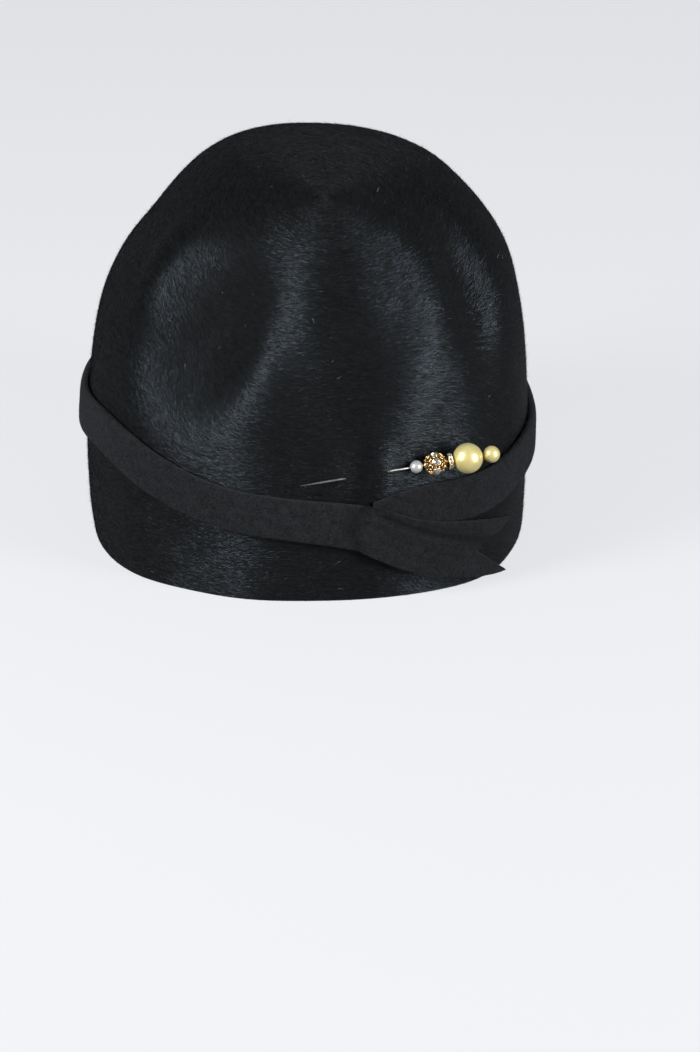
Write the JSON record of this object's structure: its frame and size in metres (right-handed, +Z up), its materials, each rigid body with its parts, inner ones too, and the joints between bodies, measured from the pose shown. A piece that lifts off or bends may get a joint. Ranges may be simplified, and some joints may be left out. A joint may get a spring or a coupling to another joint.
{
  "type": "fur felt toque",
  "caption": "Soft brimless hat of long-haired fur felt, with a felt strip tied low round the crown and a pearl-headed hat pin at the back.",
  "frame": {"origin": "on the floor, under the middle of the bounding box, with the hat standing on its rim", "axes": "+Z up through the tip; -Y is the face side and +Y the back, where the knot and the pin are; +X is the wearer's left"},
  "size_m": [0.178, 0.209, 0.1502],
  "materials": {
    "fur_felt": "black long-haired fur felt, nap brushed round the tip, with a cool sheen",
    "band_felt": "matte charcoal-black wool felt with cut edges",
    "pin_steel": "polished",
    "gilt_metal": "polished gilt",
    "pearl_cream": "pearly lacquer",
    "pearl_white": "pearly lacquer",
    "clear_stone": "cut and polished"
  },
  "bodies": {
    "root": {"hat_body": "fur_felt", "felt_band": "band_felt", "pin_shaft": "pin_steel", "pearl_small": "pearl_white", "stone_ball": "gilt_metal", "stone_spacer": "gilt_metal", "pearl_large": "pearl_cream", "pearl_end": "pearl_cream"}
  },
  "joints": []
}
